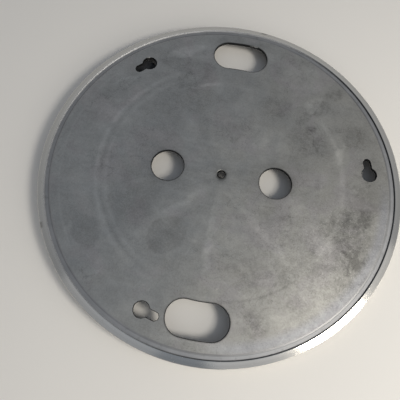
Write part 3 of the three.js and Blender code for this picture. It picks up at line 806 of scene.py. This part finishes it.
def sintered_bronze():
    """Porous bronze, darkened by the oil that it holds."""
    s = Shader("sintered_bronze", metallic=1.0)
    pores = s.spots(0.09, 0.6)
    clouds = s.noise(3)
    tone = s.add(s.varied(1.0, (clouds, 0.35)), s.times(pores, -0.5))
    colour = s.toned(s.blend(clouds, (0.52, 0.34, 0.15), (0.40, 0.24, 0.11)), tone)
    rough = s.add(0.36, s.times(pores, 0.3))
    return s.done(colour, rough, s.times(pores, -1.0), 0.02)


def moulded_rubber(name, dusty):
    s = Shader(name, Specular_IOR_Level=0.35)
    grain = s.noise(0.35, rough=0.7)
    bloom_and_sheen = s.fade(s.noise(5, detail=6, rough=0.7), 0.42, 0.74, 0, dusty)
    tone = s.varied(1.0, (grain, 0.5))
    colour = s.blend(bloom_and_sheen, s.toned((0.026, 0.026, 0.028), tone), (0.16, 0.155, 0.145))
    rough = s.add(s.fade(bloom_and_sheen, 0, dusty, 0.68, 0.88), s.centred(grain, 0.1))
    return s.done(colour, rough, grain, 0.03)


def pressed_felt():
    """Grey wool felt: matted fibres, fuzzy at a glancing angle."""
    s = Shader("pressed_felt", Sheen_Weight=0.5, Sheen_Roughness=0.6)
    fibres = s.noise(0.30, detail=5, rough=0.7, stretch=(1, 3, 2), bend=2.5)
    across = s.noise(0.26, detail=5, rough=0.7, stretch=(3, 1, 2), bend=2.5)
    matted = s.math("MAXIMUM", fibres, across)
    clumps = s.noise(3.5)
    tone = s.varied(0.9, (matted, 0.9), (clumps, 0.3))
    oily = s.fade(s.noise(6), 0.5, 0.7, 0, 0.5)
    colour = s.blend(oily, s.toned((0.21, 0.20, 0.175), tone), (0.07, 0.06, 0.045))
    return s.done(colour, s.fade(oily, 0, 0.5, 0.96, 0.7), matted, 0.12)


def natural_nylon():
    s = Shader("natural_nylon", Subsurface_Weight=0.15)
    s.surface.inputs["Subsurface Radius"].default_value = (0.0012, 0.001, 0.0007)
    flow = s.noise(5, detail=3, stretch=(1, 0.4, 1))
    stain = s.fade(s.noise(4, detail=5), 0.5, 0.72, 0, 0.45)
    colour = s.toned((0.72, 0.69, 0.60), s.varied(1.0, (flow, 0.14)))
    colour = s.blend(stain, colour, (0.42, 0.34, 0.22))
    return s.done(colour, s.fade(flow, 0.3, 0.7, 0.38, 0.52), s.noise(0.6), 0.01)


def bench_surface():
    s = Shader("bench")
    clouds = s.noise(260, detail=3)
    colour = s.toned((0.735, 0.712, 0.675), s.varied(1.0, (clouds, 0.05)))
    return s.done(colour, 0.9, s.noise(0.8), 0.05)


# ---- Head ----
def head_casting():
    ribs = []
    for radius in RIB_RADII:
        ribs.append((radius - RIB_WIDTH / 2, UNDERSIDE, RIB_FILLET))
        ribs.append((radius - RIB_WIDTH / 4, UNDERSIDE - RIB_DEPTH))
        ribs.append((radius + RIB_WIDTH / 4, UNDERSIDE - RIB_DEPTH))
        ribs.append((radius + RIB_WIDTH / 2, UNDERSIDE, RIB_FILLET))
    profile = [
        (SPINDLE_HOLE, UNDERSIDE, 0.4),
        *ribs,
        (SKIRT_INNER, UNDERSIDE, SKIRT_FILLET),
        (SKIRT_INNER, SKIRT_BOTTOM, 0.5),
        (HEAD_RADIUS, SKIRT_BOTTOM, 0.9),
        (HEAD_RADIUS, RIM_OUTER_Z, 0.45),
        (RIM_INNER, RIM_TOP, 0.35),
        (RIM_INNER - 0.2, GROOVE_FLOOR, 0.15),
        (GROOVE_INNER + GROOVE_SLOPE, GROOVE_FLOOR, 0.2),
        (GROOVE_INNER, PLATE, 0.25),
        (SPINDLE_HOLE, PLATE, 0.8),
    ]
    return revolved(softened(profile, 0.3), HEAD_STEPS)


def head_zone(centre, normal):
    """Which of the head's metals a face takes, by where it is and how far it faces up."""
    radius = math.hypot(centre.x, centre.y)
    on_rim = radius > RIM_INNER + 0.1 and centre.z > PLATE
    on_plate = normal.z > 0.995 and centre.z > PLATE - 0.05
    round_centre = radius < SPINDLE_HOLE + 1 and normal.z > 0.3
    on_edge = normal.z > 0.12 and centre.z > PLATE - 2 * OPENING_EDGE
    if radius > SKIRT_INNER + 2 or on_rim:
        return RIM_METAL
    if radius > GROOVE_INNER - 0.1:
        return GROOVE_METAL if centre.z > UNDERSIDE + 1 else CAST_METAL
    if on_plate or round_centre:
        return PLATE_METAL
    return EDGE_METAL if on_edge else CAST_METAL


def wheel_head():
    head = head_casting()
    openings = [
        round_outline(polar(FINGER_HOLE["pitch"], angle), FINGER_HOLE["radius"], 2 * SMALL_STEPS)
        for angle in FINGER_HOLE["angles"]
    ]
    for angle in WINDOW["angles"]:
        span = (angle - WINDOW["half_span"], angle + WINDOW["half_span"])
        openings.append(arc_slot(WINDOW["pitch"], WINDOW["width"], *span))
    for angle in KEYHOLE["angles"]:
        centre = polar(KEYHOLE["pitch"], angle)
        span = (angle, angle + KEYHOLE["span"])
        openings.append(round_outline(centre, KEYHOLE["radius"], stray=CAST_WANDER))
        openings.append(arc_slot(KEYHOLE["pitch"], KEYHOLE["slot"], *span, stray=CAST_WANDER))
    for outline in openings:
        combine(head, cutter(outline, UNDERSIDE, PLATE, OPENING_EDGE))
    metals = [oxidised_plate(), turned_rim(), cast_skin(), worn_edge(), turned_groove()]
    finished(head, "wheel_head", "head", metals, head_zone)


# ---- Rotor ----
def drilled(shape, nodes, radius, bottom, top, edge=0.12):
    """Round holes where those CAD nodes pass through a shape."""
    for node in nodes:
        outline = round_outline(cad_place(node), radius, HOLE_STEPS)
        combine(shape, cutter(outline, bottom, top, edge))


def spindle(steel):
    _, bottom, top = cad_round("spindle")
    _, clip_bottom, clip_top = cad_round("circlip")
    _, collar_bottom, collar_top = cad_round("friction_pad")
    neck_bottom = clip_bottom - CIRCLIP_PLAY["below"]
    neck_top = clip_top + CIRCLIP_PLAY["above"]
    profile = [
        (0, bottom),
        (SPINDLE_TIP_RADIUS, bottom, 0.2),
        (SPINDLE_TIP_RADIUS, neck_bottom, 0.05),
        (NECK_RADIUS, neck_bottom, 0.05),
        (NECK_RADIUS, neck_top, 0.05),
        (SPINDLE_RADIUS, neck_top, 0.1),
        (SPINDLE_RADIUS, collar_bottom, 0.1),
        (COLLAR_RADIUS, collar_bottom, 0.1),
        (COLLAR_RADIUS, collar_top, 0.2),
        (NOSE_RADIUS, collar_top, 0.12),
        (NOSE_RADIUS, top, 0.9),
        (0, top),
    ]
    shape = revolved(softened(profile, 0.1))
    drilled(shape, RIVETS, RIVET_HOLE, collar_bottom, collar_top)

    def zone(centre, normal):
        return 1 if centre.z > collar_top + 0.2 else 0

    finished(shape, "spindle", "rotor", [steel, shade_dark_slip_stained_steel()], zone)


def drive_flange(zinc):
    radius, lip_bottom, top = cad_round("drive_flange")
    bottom = cad_round("upper_race")[2] + FLANGE_GAP
    bore = SPINDLE_RADIUS + FLANGE_GAP
    profile = [
        (bore, bottom),
        (LIP_INNER, bottom),
        (LIP_INNER, lip_bottom),
        (LIP_OUTER, lip_bottom),
        (LIP_OUTER, bottom, 0.25),
        (radius, bottom, 0.35),
        (radius, top, 0.35),
        (bore, top),
    ]
    shape = revolved(softened(profile, 0.12))
    drilled(shape, RIVETS, RIVET_HOLE, bottom, top)
    finished(shape, "drive_flange", "rotor", [zinc])


def flange_rivets(zinc):
    for node in RIVETS:
        _, bottom, top = cad_round(node)
        profile = [(0, bottom), (RIVET_RADIUS, bottom), (RIVET_RADIUS, top, 0.3), (0, top)]
        shape = revolved(softened(profile, 0.12), SMALL_STEPS, cad_place(node))
        finished(shape, node, "rotor", [zinc])


def friction_pad(rubber):
    """The pad, with three shallow moulded grooves in its top."""
    radius, bottom, top = cad_round("friction_pad")
    grooves = []
    lip, floor = PAD_GROOVES["half_top"], PAD_GROOVES["half_floor"]
    floor_z = top - PAD_GROOVES["depth"]
    for place in PAD_GROOVES["places"]:
        grooves += [(place + lip, top), (place + floor, floor_z)]
        grooves += [(place - floor, floor_z), (place - lip, top)]
    profile = [(PAD_INNER, bottom), (radius, bottom), (radius, top), *grooves, (PAD_INNER, top)]
    shape = revolved(softened(profile, 0.1))
    finished(shape, "friction_pad", "rotor", [rubber])


def washer_shape(inner, outer, bottom, top, edge, steps=PART_STEPS):
    corners = [(inner, bottom), (outer, bottom), (outer, top), (inner, top)]
    return revolved(softened(corners, edge), steps)


def thrust_washer(bronze):
    radius, bottom, top = cad_round("thrust_washer")
    shape = washer_shape(WASHER_INNER, radius, bottom, top, 0.08)
    finished(shape, "thrust_washer", "rotor", [bronze])


def circlip(spring):
    _, bottom, top = cad_round("circlip")
    radius = -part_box("circlip")[0].x / MM
    shape = washer_shape(CIRCLIP_INNER, radius, bottom, top, 0.06, SMALL_STEPS)
    half = CIRCLIP_GAP / 2
    corners = [(0, -half), (2 * radius, -half), (2 * radius, half), (0, half)]
    gap = [Vector(corner) for corner in corners]
    cut_through(shape, gap, bottom - 1, top + 1)
    finished(shape, "circlip", "rotor", [spring])


# ---- Bearing ----
def race(node, body, steel):
    """A flat ring with a round groove for the balls in the face towards them."""
    _, bottom, top = cad_round(node)
    dip = math.degrees(math.asin(RACE_FACE / GROOVE_RADIUS))
    is_upper = bottom > BALL_Z
    ends = (180 - dip, dip) if is_upper else (-dip, dip - 180)
    groove = [(*p, 0) for p in arc((BALL_PITCH, BALL_Z), GROOVE_RADIUS, *ends, 16)]
    profile = [(RACE_INNER, bottom), *(groove if is_upper else []), (RACE_OUTER, bottom)]
    profile += [(RACE_OUTER, top), *([] if is_upper else groove), (RACE_INNER, top)]
    shape = revolved(softened(profile, 0.15))
    finished(shape, node, body, [steel])


def ball_retainer(nylon):
    radius, bottom, top = cad_round("ball_retainer")
    shape = washer_shape(RETAINER_INNER, radius, bottom, top, 0.12)
    drilled(shape, BALLS, POCKET_RADIUS, bottom, top, 0.06)
    finished(shape, "ball_retainer", "ball_cage", [nylon])


def balls(steel):
    outline = [(max(p.x, 0), p.y) for p in arc((0, BALL_Z), BALL_RADIUS, -90, 90, 24)]
    outline[0], outline[-1] = (0, outline[0][1]), (0, outline[-1][1])
    for node in BALLS:
        shape = revolved(outline, SMALL_STEPS, cad_place(node))
        finished(shape, node, "ball_cage", [steel])


# ---- Base ----
def arm_body(half_root, half_tip, bottom, top, edge):
    """One arm along +X: it starts on an arc inside the hub's wall and tapers to the foot."""
    reach = math.degrees(math.asin(half_root / ARM_START))
    outline = arc((0, 0), ARM_START, reach, -reach, 12)
    outline += [Vector((FOOT_PITCH, -half_tip)), Vector((FOOT_PITCH, half_tip))]

    def inset(amount):
        side = [Vector((p.x, p.y * (1 - amount / half_root))) for p in outline[:-2]]
        return side + [Vector((p.x, p.y * (1 - amount / half_tip))) for p in outline[-2:]]

    turns = [math.radians(90 * step / CORNER_STEPS) for step in range(CORNER_STEPS + 1)]
    rounding = [(edge * (1 - math.sin(t)), edge * (1 - math.cos(t))) for t in turns]
    levels = [(inset(inward), bottom + up) for inward, up in rounding]
    levels += [(inset(inward), top - down) for inward, down in rounding[::-1]]
    return stacked(levels)


def cross_arm(angle):
    edge = 0.5
    shape = arm_body(ARM_ROOT_WIDTH / 2, ARM_TIP_WIDTH / 2, ARM_BOTTOM, ARM_TOP, edge)
    rib = arm_body(ARM_RIB_WIDTH / 2, ARM_RIB_WIDTH / 2, ARM_BOTTOM + edge, ARM_RIB_TOP, edge)
    combine(shape, rib, "UNION")
    corners = [
        (0, ARM_BOTTOM),
        (FOOT_PAD_RADIUS, ARM_BOTTOM),
        (FOOT_PAD_RADIUS, FOOT_PAD_TOP, 0.8),
        (0, FOOT_PAD_TOP),
    ]
    combine(shape, revolved(softened(corners, edge), SMALL_STEPS, (FOOT_PITCH, 0)), "UNION")
    for hole in (FOOT_RECESS, FOOT_HOLE):
        bore = round_outline((FOOT_PITCH, 0), hole["radius"])(0)
        cut_through(shape, bore, 0, hole["top"])
    shape.data.transform(Matrix.Rotation(math.radians(angle), 4, "Z"))
    return shape


def base_cross(paint):
    well = HUB_RADIUS - HUB_WALL
    seat = RACE_INNER - RACE_SEAT["gap"]
    seat_inner, seat_top = seat - RACE_SEAT["width"], HUB_FLOOR + RACE_SEAT["height"]
    step_top = HUB_BOTTOM + HUB_STEP["height"]
    profile = [
        (COVER_POCKET["radius"], HUB_BOTTOM, 0.2),
        (HUB_STEP["inner"], HUB_BOTTOM),
        (HUB_STEP["outer"], step_top),
        (HUB_RADIUS, step_top, 0.6),
        (HUB_RADIUS, HUB_RIM, 0.5),
        (well, HUB_RIM, 0.3),
        (well, HUB_FLOOR),
        (seat, HUB_FLOOR, 0.1),
        (seat, seat_top, 0.2),
        (seat_inner, seat_top, 0.2),
        (seat_inner, HUB_FLOOR, 0.1),
        (BOSS_RADIUS, HUB_FLOOR),
        (BOSS_RADIUS, HUB_RIM, 0.3),
        (BUSH_HOLE, HUB_RIM, 0.2),
        (BUSH_HOLE, COVER_POCKET["top"], 0.1),
        (COVER_POCKET["radius"], COVER_POCKET["top"], 0.1),
    ]
    shape = revolved(softened(profile, 0.3))
    for angle in ARM_ANGLES:
        combine(shape, cross_arm(angle), "UNION")
    for node in COVER_SCREWS:
        bore = round_outline(cad_place(node), COVER_HOLE, HOLE_STEPS)(0)
        cut_through(shape, bore, 0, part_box(node)[1].z / MM + 0.1)
    finished(shape, "base_cross", "base", [paint])


def spindle_bush(bronze):
    flange, bottom, top = cad_round("spindle_bush")
    profile = [
        (BUSH["inner"], bottom),
        (BUSH["outer"], bottom),
        (BUSH["outer"], BUSH["shoulder"]),
        (flange, BUSH["shoulder"]),
        (flange, top),
        (BUSH["inner"], top),
    ]
    finished(revolved(softened(profile, 0.12)), "spindle_bush", "base", [bronze])


def dust_seal(felt):
    radius, bottom, top = cad_round("dust_seal")
    shape = washer_shape(SEAL_INNER, radius, bottom, top, 0.5)
    finished(shape, "dust_seal", "base", [felt])


def bearing_cover(zinc):
    radius, bottom, top = cad_round("bearing_cover")
    dished = bottom + COVER_DISH["depth"]
    profile = [(0, dished), (COVER_DISH["inner"], dished), (COVER_DISH["outer"], bottom)]
    profile += [(radius, bottom), (radius, top), (0, top)]
    shape = revolved(softened(profile, 0.12))
    drilled(shape, COVER_SCREWS, COVER_HOLE, bottom, top, 0.08)
    finished(shape, "bearing_cover", "base", [zinc])


def socket_screw(node, sizes, zinc):
    """A screw standing head down, with a rolled thread and a hexagonal socket."""
    _, bottom, tip = cad_round(node)
    head, shank, head_top = sizes["head"], sizes["shank"], sizes["head_top"]
    place = cad_place(node)
    profile = [(0, bottom), (head, bottom, 0.18), (head, head_top, 0.08), (shank, head_top, 0.05)]
    pitch = shank * THREAD["pitch"]
    crest = head_top + pitch
    while crest + pitch < tip:
        valley = (shank - pitch * THREAD["depth"], crest + pitch / 2, 0.02)
        profile += [(shank, crest, 0.02), valley]
        crest += pitch
    profile += [(shank, tip, 0.15), (0, tip)]
    shape = revolved(softened(profile, 0.08), SMALL_STEPS, place)
    hexagon = round_outline(place, head * SOCKET["radius"], 6)(0)
    socket_top = bottom + (head_top - bottom) * SOCKET["depth"]
    cut_through(shape, hexagon, bottom - 1, socket_top)
    finished(shape, node, "base", [zinc])


def foot(node, rubber):
    _, bottom, top = cad_round(node)
    profile = [
        (FOOT["sink"], bottom),
        (FOOT["radius"], bottom, 0.5),
        (FOOT["radius"], FOOT["height"], 0.2),
        (FOOT["spigot"], FOOT["height"]),
        (FOOT["spigot"], top),
        (FOOT["bore"], top),
        (FOOT["bore"], FOOT["sink_top"]),
        (FOOT["sink"], FOOT["sink_top"]),
    ]
    shape = revolved(softened(profile, 0.15), PART_STEPS, cad_place(node))
    finished(shape, node, "base", [rubber])


# ---- The wheel ----
def build_wheel():
    rubber = moulded_rubber("moulded_rubber", 0.35)
    bronze = sintered_bronze()
    steel = ground_steel()
    fastener = zinc_plate("zinc_fasteners", (0.50, 0.50, 0.50), 0.25)
    sheet = zinc_plate("zinc_sheet", (0.58, 0.57, 0.54), 0.45)
    wheel_head()
    spindle(steel)
    drive_flange(sheet)
    flange_rivets(fastener)
    friction_pad(rubber)
    thrust_washer(bronze)
    circlip(blued_spring())
    race("upper_race", "rotor", steel)
    race("lower_race", "base", steel)
    ball_retainer(natural_nylon())
    balls(polished_ball())
    base_cross(hammered_paint())
    spindle_bush(bronze)
    dust_seal(pressed_felt())
    bearing_cover(sheet)
    for node in COVER_SCREWS:
        socket_screw(node, COVER_SCREW, fastener)
    for node in numbered("foot_screw", 4):
        socket_screw(node, FOOT_SCREW, fastener)
    for node in numbered("foot", 4):
        foot(node, rubber)


# ---- Stage, light and camera ----
def bench():
    signs = ((-1, -1), (1, -1), (1, 1), (-1, 1))
    corners = [Vector(sign) * BENCH_HALF for sign in signs]
    floor = stacked([(corners, -BENCH_DEPTH), (corners, 0)])
    floor.name = "bench"
    floor.data.materials.append(bench_surface())


def soft_light(name, azimuth, elevation, size, watts, colour):
    """A rectangular light that faces the wheel."""
    towards = Vector((*polar(math.cos(math.radians(elevation)), azimuth), 0))
    towards.z = math.sin(math.radians(elevation))
    data = bpy.data.lights.new(name, "AREA")
    data.shape = "RECTANGLE"
    data.size, data.size_y = (side * MM for side in size)
    data.energy = watts
    data.color = colour
    light = new_object(name, data)
    light.location = towards * LIGHT_DISTANCE * MM
    light.rotation_euler = towards.to_track_quat("Z", "Y").to_euler()


def soft_sky():
    """A pale surround, brighter near the horizon than overhead."""
    world = bpy.data.worlds.new("surround")
    world.use_nodes = True
    nodes, links = world.node_tree.nodes, world.node_tree.links
    height = nodes.new("ShaderNodeSeparateXYZ")
    links.new(nodes.new("ShaderNodeTexCoord").outputs["Generated"], height.inputs[0])
    fall = nodes.new("ShaderNodeValToRGB")
    links.new(height.outputs["Z"], fall.inputs["Fac"])
    stops = fall.color_ramp.elements
    stops.new(0.5)
    for stop, (height_z, colour) in zip(stops, SKY):
        stop.position = height_z
        stop.color = (*colour, 1)
    links.new(fall.outputs["Color"], nodes["Background"].inputs["Color"])
    bpy.context.scene.world = world


def photo_camera():
    data = bpy.data.cameras.new("camera")
    data.lens, data.sensor_width = LENS, SENSOR
    camera = new_object("camera", data)
    camera.location = Vector(CAMERA_PLACE) * MM
    camera.rotation_euler = [math.radians(a) for a in (CAMERA_TILT, CAMERA_ROLL, CAMERA_HEADING)]
    bpy.context.scene.camera = camera


photo_camera()
bench()
for light, settings in LIGHTS.items():
    soft_light(light, *settings)
soft_sky()
# The tones are shown as they are, with no film curve over them.
bpy.context.scene.view_settings.view_transform = "Standard"
build_wheel()
